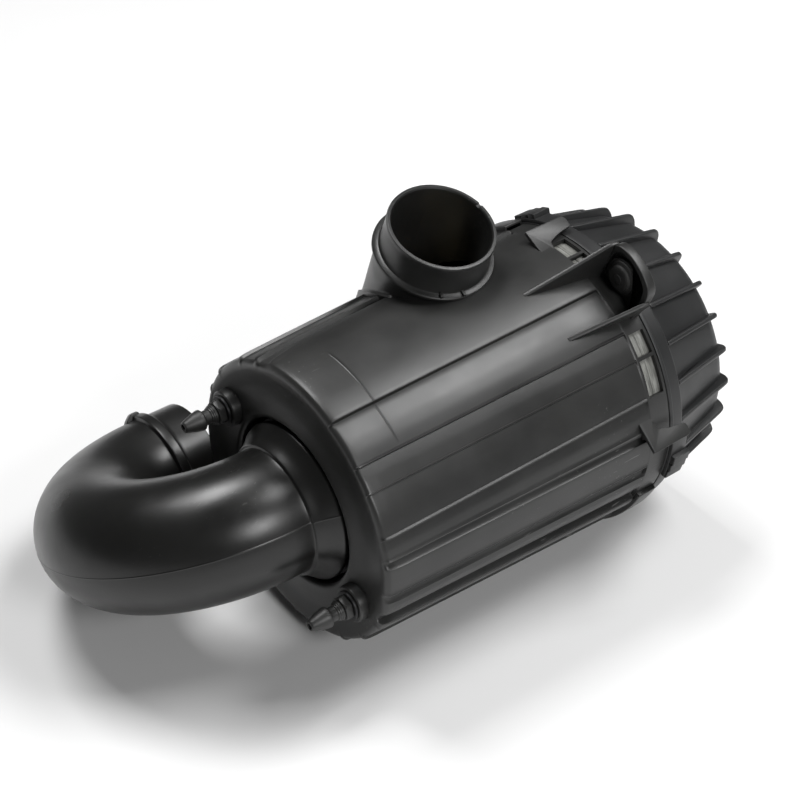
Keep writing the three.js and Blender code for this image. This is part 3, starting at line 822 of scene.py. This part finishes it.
def elbow_profile():
    """Outer and inner (arc length, radius) points of the tube: flared collar, bend, hose bead and plain end."""
    end = ELBOW_START_X - BEND_X + math.pi * BEND_R + (ELBOW_END_X - BEND_X)
    bead = end + (ELBOW_BEAD_X - ELBOW_END_X)
    outside = soften([
        (0, ELBOW_R), (10.5, ELBOW_R), (15.0, 50.6, 2), (10.2, 54.6, 0.6), (10.3, 57.2, 0.9), (13.4, 57.3, 2.5),
        (17, 54.2, 5), (22, 50.3, 6), (27.5, 47.6, 1.0), (28.1, 47.2, 0.4), (28.7, 45.3, 0.8), (34, ELBOW_R, 2),
    ], 0.5, closed=False)
    outside += soften([
        (bead - 5.4, ELBOW_R), (bead - 4.4, 45.5), (bead - 3.7, 48.3, 1.0), (bead + 3.4, 48.4, 1.0),
        (bead + 4.2, 45.7), (bead + 5.4, ELBOW_R),
    ], 0.6, closed=False)
    outside += soften([
        (end - 2.5, ELBOW_R), (end, ELBOW_R - 0.1, 0.7), (end, ELBOW_BORE_R, 0.5), (end - 3, ELBOW_BORE_R),
    ], 0.6, closed=False)
    inside = resample([(end - 3, ELBOW_BORE_R), (3, ELBOW_BORE_R)], 5.0)[1:] + [(0, ELBOW_BORE_R)]
    return resample(outside, 3.0), inside


def elbow_columns():
    """Angles around the tube, and how far its two fine mould lines, half a turn apart, stand out there."""
    ridge = np.radians([0.0, 0.35, 0.7, 1.1])
    plain = np.linspace(0, 2 * math.pi, 96, endpoint=False)
    turn = [plain, ridge, 2 * math.pi - ridge[1:], math.pi + ridge, math.pi - ridge]
    turn = np.unique(np.round(np.concatenate(turn), 6))
    away = np.min([np.abs(turn - centre) for centre in (0, math.pi, 2 * math.pi)], axis=0)
    return turn, 0.22 * np.clip(1 - away / math.radians(0.75), 0, 1)


def elbow():
    """U-shaped tube with the locator tab on its free leg."""
    outside, inside = elbow_profile()
    turn, lift = elbow_columns()
    rings = []
    for k, (s, r) in enumerate(outside + inside):
        point, outward, upward = elbow_frames(s)
        radius = r + lift * (k < len(outside) and 11 < s and r > ELBOW_R - 0.5)
        rings.append(point + np.outer(radius * np.cos(turn), outward) + np.outer(radius * np.sin(turn), upward))
    tube = loft("elbow", rings, closed=True)
    fall, lean = math.radians(BEND_FALL), math.radians(TAB_LEAN)
    leg_y, leg_z = 2 * BEND_R * math.cos(fall), -2 * BEND_R * math.sin(fall)

    def place(a, b, c):
        out, across = math.sin(lean), math.cos(lean)
        return (a, leg_y + b * out - c * across, leg_z + b * across + c * out)
    tab = slab("tab", [
        (-268.5, 43.5, 0.5), (-266.4, 46.4, 1.5), (-261.4, 50.4, 1.6), (-256.6, 50.6, 1.2), (-255.0, 48.8, 1.0),
        (-254.0, 43.5, 0.5)], place, -3.4, 3.4, 0.6, 0.7)
    return combine(tube, [tab], "UNION")


finish_piece(elbow(), "elbow_tube", ELBOW, "housing", "elbow_plastic", "outlet_elbow")
seal = lathe("ring", [(-245.7, 40.3), (-245.7, 41.7), (-242.3, 41.7), (-242.3, 40.3)], 96, rounding=0.6)
finish_piece(seal, "elbow_o_ring", RUBBER, "housing", "black_rubber", "elbow_seal_ring")
clip = lathe("ring", [(-233, 45.6), (-233, 57.5), (-229.2, 57.9), (-229.2, 45.6)], 96, rounding=0.5)
finish_piece(clip, "elbow_clip_ring", DARK_STEEL, "housing", "dark_steel", "elbow_retaining_ring")


# ---------------------------------------------------------------- front pins

NUT_R = 9.2
NUT_TURN = 12


def pin(centre):
    """Bullet-shaped pin with a small recess in its tip and a stepped collar."""
    return lathe("pin", [
        (-278.2, 0), (-278.4, 2.0, 0.3), (-280.2, 2.3, 0.2), (-280.2, 3.2, 0.3), (-279.4, 4.0, 0.8),
        (-272.5, 6.2, 5), (-267.8, 7.2, 1.2), (-266.0, 7.3, 0.5), (-265.2, 6.6, 0.4), (-264.8, 5.2, 0.6),
        (-260.2, 5.2, 0.3), (-260.0, 5.9, 0.3), (-259.0, 6.0, 0.3), (-258.8, 6.5, 0.3), (-257.8, 6.6, 0.3),
        (-257.6, 7.0, 0.3), (-256.0, 7.1, 0.3), (-256.0, 4.0, 0.2), (-237, 4.0, 0.5), (-237, 0)],
        48, centre, 0.5, solid=True)


def hexagon(centre):
    """Nut with chamfered corners."""
    turns = [math.radians(60 * k + NUT_TURN) for k in range(6)]
    outline = [(centre[0] + NUT_R * math.cos(t), centre[1] + NUT_R * math.sin(t)) for t in turns]
    block = slab("nut", outline, along_x, -255.6, -250.4, 0.8, 0.35)
    bevel = lathe("bevel", [(-255.9, 0), (-255.9, 7.8), (-253.6, 9.5), (-249, 9.5), (-249, 0)], 64, centre, 0.1,
                  solid=True)
    combine(block, [bevel], "INTERSECT")
    return combine(block, [rod(-257, -248, PIN_HOLE_R, 32, centre)], "DIFFERENCE")


for side, angle in PIN_ANGLES.items():
    centre = polar(PIN_ORBIT, angle)
    finish_piece(pin(centre), side + "_pin", PIN, "housing", "pin_plastic", side + "_mount_pin")
    finish_piece(hexagon(centre), side + "_nut", PIN, "housing", "pin_plastic", side + "_pin_nut")
    washer = lathe("washer", [(-250, 4.4), (-250, 10.4), (-248.4, 10.5), (-248.4, 4.4)], 48, centre, 0.3)
    finish_piece(washer, side + "_washer", DARK_STEEL, "housing", "dark_steel", side + "_pin_washer")


# ---------------------------------------------------------------- rear rubber mount

lug_centre = polar(LUG_ORBIT, LUG_ANGLE)
buffer = lathe("buffer", [
    (-10.5, 0), (-10.5, 3.0, 0.4), (-10.1, 3.4, 0.4), (-10.2, 7.6, 1.0), (-9.6, 9.3, 0.8), (-8.0, 9.5, 0.4),
    (-7.7, 10.4, 0.4), (-7.4, 11.9, 0.6), (-6.4, 12.3, 0.3), (-6.2, 13.6, 0.4), (-4.7, 14.0, 0.6),
    (-4.3, 13.6, 0.3), (-4.3, 10.0, 0.4), (0.3, 10.0, 0.4), (0.3, 12.4, 0.5), (2.6, 12.1, 0.8),
    (3.0, 11.2, 0.6), (3.0, 5.4, 0.3), (-7, 5.3, 0.2), (-7, 0),
], 72, lug_centre, 0.4, solid=True)
finish_piece(buffer, "lug_rubber", RUBBER, "housing", "black_rubber", "rear_lug_buffer")
insert = lathe("insert", [
    (-6.7, 0), (-6.7, 5, 0.5), (2.6, 5, 0.4), (2.6, 3.9, 0.3), (2.0, 3.3, 0.3), (1.2, 3.5), (0.4, 3.2),
    (-0.4, 3.5), (-1.2, 3.2), (-2, 3.5), (-2.8, 3.2), (-4, 3.3), (-4, 0),
], 48, lug_centre, 0.2, solid=True)
finish_piece(insert, "lug_insert", STEEL, "housing", "steel", "rear_lug_insert")


# ---------------------------------------------------------------- service cover

FIN_START = 13.6
FIN_HALF = 1.7
FIN_TURN = 7.9


def fin(angle):
    """Fin along the cover that bends over the edge onto its end."""
    outline = [(FIN_START, FLANGE_R - 6.8, 0.2), (FIN_START, FLANGE_R - 0.9, 1.2)]
    # The rest: distance from the cover's end, height over its end radius and rounding.
    outline += [(COVER_LENGTH + x, COVER_END_R + r, rounding) for x, r, rounding in (
        (-7.5, 8.2, 4), (-2.6, 6.6, 3.5), (-0.2, 1.6, 4), (0.1, -5.5, 2), (-1.6, -8.5, 1), (-7, -1.2, 0.3))]
    return slab("fin", outline, radial_plane(angle), -FIN_HALF, FIN_HALF, 1.0, 1.1)


def grip(top):
    """Stepped finger grip with fine ridges beside an ear."""
    way = -1 if top < 0 else 1

    def sector(radius, start, end, low, high, corner):
        span = sorted((top + way * start, top + way * end))
        return slab("grip", arc_outline(FLANGE_R - 2.2, radius, *span, 8), along_x, low, high, corner, 0.6)
    parts = [sector(115.6, 4.5, 22.5, 1.0, 15.2, 0.8)]
    for step in range(3):
        parts.append(sector(119.2 - step, 11.4 + step * 3.8, 14.8 + step * 3.8, 1.3, 16.8, 1.1))
    return parts


def cover():
    """Cover with its seal groove, flange, stepped end disc, fins and grips."""
    end = COVER_LENGTH
    shell = lathe("cover", [
        (0.4, COVER_INNER_R), (0.4, 103.2, 0.3), (4, 103.2, 0.2), (4, 109, 0.2), (0.4, 109, 0.3),
        (0.4, FLANGE_R - 0.2, 0.7), (3.2, FLANGE_R, 0.4), (3.6, FLANGE_R - 0.35, 0.2),
        (12.4, FLANGE_R - 0.2, 1.0), (14.0, FLANGE_R - 2.4, 0.8), (15.5, FLANGE_R - 5.5, 1.5),
        (end - 8.5, COVER_END_R + 2.2, 6), (end - 3, COVER_END_R - 1, 4), (end, COVER_END_R - 7, 4),
        (end, 62, 2), (end - 2.5, 58, 2), (end - 2.5, 40, 3), (end - 1.2, 36, 3), (end - 1.2, 0.01),
        (end - 5.5, 0.01), (end - 5.5, 60, 2), (end - 3, 64, 2), (end - 3, COVER_END_R - 9, 2),
        (end - 6, COVER_END_R - 4), (end - 10, COVER_END_R - 0.8), (14, FLANGE_R - 8.5), (8, COVER_INNER_R, 2),
    ], 240, rounding=0.6)
    fins = join("fins", [fin(i * 360 / FIN_COUNT + FIN_TURN) for i in range(FIN_COUNT)])
    shell = combine(shell, [fins], "UNION")
    grips = [piece for _, top, _ in EARS for piece in grip(top)]
    return combine(shell, grips, "UNION")


finish_piece(cover(), "cover_shell", COVER, "cover", "cover_plastic", "end_cover")
rim_seal = lathe("seal", [
    (-17.5, 103.6), (-17.5, 107.2, 0.5), (-16.6, 108.5, 0.5), (-10.4, 108.6, 0.3), (-9.9, 107.9, 0.3),
    (-9.1, 107.9, 0.3), (-8.6, 108.6, 0.3), (3.6, 108.6, 0.4), (3.6, 103.6),
], 240, rounding=0.3)
finish_piece(rim_seal, "rim_seal", SEAL, "cover", "grey_seal", "cover_seal_ring")
stop_ring = lathe("ring", [(59.4, 70.2), (59.4, 72.8), (71.6, 72.8), (71.6, 70.2)], 120, rounding=0.8)
finish_piece(stop_ring, "element_stop_ring", RUBBER, "cover", "black_rubber", "element_support_ring")


# ---------------------------------------------------------------- filter element

def pleats():
    """Pleated paper with rounded folds: one closed band whose two faces are a paper thickness apart."""
    folds, thick = 90, 0.45
    turn = np.linspace(0, 2 * math.pi, folds * 12, endpoint=False)
    phase = folds * turn
    wave = np.clip(1.25 * (2 / math.pi) * np.arcsin(np.cos(phase)), -1, 1) * 0.92 + 0.08 * np.cos(phase)
    radius = (PAPER_INNER_R + PAPER_OUTER_R) / 2 + wave * (PAPER_OUTER_R - PAPER_INNER_R) / 2
    line = np.stack([-radius * np.sin(turn), radius * np.cos(turn)], 1)
    ahead = np.roll(line, -1, 0) - np.roll(line, 1, 0)
    ahead /= np.linalg.norm(ahead, axis=1)[:, None]
    across = np.stack([ahead[:, 1], -ahead[:, 0]], 1) * thick / 2
    rings = []
    for side, start, end in ((1, PAPER_START_X, PAPER_END_X), (-1, PAPER_END_X, PAPER_START_X)):
        face = line + side * across
        rings += [np.column_stack([np.full(len(face), x), face]) for x in np.linspace(start, end, 12)]
    return loft("pleats", rings, closed=True)


def core():
    """Support tube with rows of slots, every other row half a step further around."""
    inner = CORE_R - 1.3
    tube = lathe("core", [(PAPER_START_X, inner), (PAPER_START_X, CORE_R), (PAPER_END_X, CORE_R),
                          (PAPER_END_X, inner)], 120, rounding=0.3)
    rows, per_row, row_pitch, half_width, length = 12, 12, 20.6, 9, 13
    slots = []
    for row in range(rows):
        start = -199.5 + row * row_pitch
        for k in range(per_row):
            angle = (k + (row % 2) / 2) * 360 / per_row
            outline = arc_outline(47, 54, angle - half_width, angle + half_width, 3)
            slots.append(slab("slot", outline, along_x, start, start + length, 1.5, 0.01))
    return combine(tube, [join("slots", slots)], "DIFFERENCE")


finish_piece(pleats(), "pleated_paper", PAPER, "element", "filter_paper", "filter_media", sharp=60)
finish_piece(core(), "support_tube", STEEL, "element", "steel", "element_core")
outlet_cap = lathe("cap", [
    (-214, 41.9, 0.8), (-214, 60, 1), (-212.8, 63, 1), (-212.8, 80, 1), (-214, 83, 1), (-214, 88, 2),
    (-211, CAP_R, 2), (-205.3, CAP_R, 0.8), (-205.3, 44.5), (-207, 41.9, 1),
], 160, rounding=0.8)
finish_piece(outlet_cap, "outlet_cap", FOAM, "element", "polyurethane", "element_outlet_cap")
closed_cap = lathe("cap", [
    (50.3, 0), (50.3, CAP_R, 0.8), (56.5, CAP_R, 2), (59, 88, 2), (59, 66, 1), (57.6, 63, 1), (57.6, 44, 1),
    (59, 41, 1), (56, 36, 2), (56, 12, 2), (57, 9, 1), (57, 0),
], 160, rounding=0.8, solid=True)
finish_piece(closed_cap, "closed_cap", FOAM, "element", "polyurethane", "element_end_cap")


# ---------------------------------------------------------------- floor, light and camera

FLOOR_TONE = 0.76
FLOOR_SPAN = 6.0
WORLD_STRENGTH = 0.07
LIGHT_DISTANCE = 2.6

# Camera: where it looks in the housing's frame (mm), its direction from there (degrees) and distance (m).
CAMERA_TARGET = (-97.4, 64.42, -23.15)
CAMERA_AZIMUTH = 50.4
CAMERA_ELEVATION = 38.06
CAMERA_ROLL = 1.05
CAMERA_DISTANCE = 1.2662
CAMERA_LENS = 77.03

low, high = Vector(CAD_BOX[0]), Vector(CAD_BOX[1])
middle = (low + high) / 2


def floor_material():
    """Matt pale grey with a barely visible cloudiness."""
    n = Nodes("floor")
    tone = (FLOOR_TONE,) * 3
    cloud = n.ramp(n.noise(3, 3), 0.3, 0.7)
    n.link(n.mix(cloud, tone, tuple(c * 0.985 for c in tone)), n.shader.inputs["Base Color"])
    n.shader.inputs["Roughness"].default_value = 0.9
    return n.material


floor_mesh = bpy.data.meshes.new("floor")
floor_corners = [(x * FLOOR_SPAN, y * FLOOR_SPAN, low.z) for x, y in ((-1, -1), (1, -1), (1, 1), (-1, 1))]
floor_mesh.from_pydata(floor_corners, [], [(0, 1, 2, 3)])
floor = bpy.data.objects.new("floor", floor_mesh)
bpy.context.scene.collection.objects.link(floor)
floor_mesh.materials.append(floor_material())

world = bpy.data.worlds.new("studio")
bpy.context.scene.world = world
world.use_nodes = True
background = world.node_tree.nodes["Background"]
background.inputs["Color"].default_value = (1, 1, 1, 1)
background.inputs["Strength"].default_value = WORLD_STRENGTH
bpy.context.scene.view_settings.view_transform = "Standard"


def softbox(name, azimuth, elevation, width, height, radiance):
    """Rectangular soft light that faces the object. Azimuth runs from +X towards +Y."""
    a, e = math.radians(azimuth), math.radians(elevation)
    data = bpy.data.lights.new(name, "AREA")
    data.shape = "RECTANGLE"
    data.size, data.size_y = width, height
    data.energy = math.pi * width * height * radiance
    light = bpy.data.objects.new(name, data)
    bpy.context.scene.collection.objects.link(light)
    way = Vector((math.cos(e) * math.cos(a), math.cos(e) * math.sin(a), math.sin(e)))
    light.location = middle + way * LIGHT_DISTANCE
    light.rotation_euler = way.to_track_quat("Z", "Y").to_euler()


softbox("key", -28, 60, 1.25, 1.0, 14.5)
softbox("back", 96, 66, 1.0, 0.9, 17.0)
softbox("front", -93, 32, 0.8, 0.8, 15.0)

azimuth, elevation, roll = (math.radians(a) for a in (CAMERA_AZIMUTH, CAMERA_ELEVATION, CAMERA_ROLL))
level = math.cos(elevation)
toward = Vector((-level * math.cos(azimuth), -level * math.sin(azimuth), math.sin(elevation)))
flat_right = Vector((math.sin(azimuth), -math.cos(azimuth), 0))
flat_up = flat_right.cross(-toward)
right = flat_right * math.cos(roll) + flat_up * math.sin(roll)
upward = flat_up * math.cos(roll) - flat_right * math.sin(roll)
camera_data = bpy.data.cameras.new("camera")
camera_data.lens = CAMERA_LENS
camera_data.sensor_width = 36
camera = bpy.data.objects.new("camera", camera_data)
bpy.context.scene.collection.objects.link(camera)
rotation = Matrix((right, upward, toward)).transposed().to_4x4()
camera.matrix_world = Matrix.Translation(TO_ROW @ Vector(CAMERA_TARGET) + toward * CAMERA_DISTANCE) @ rotation
bpy.context.scene.camera = camera
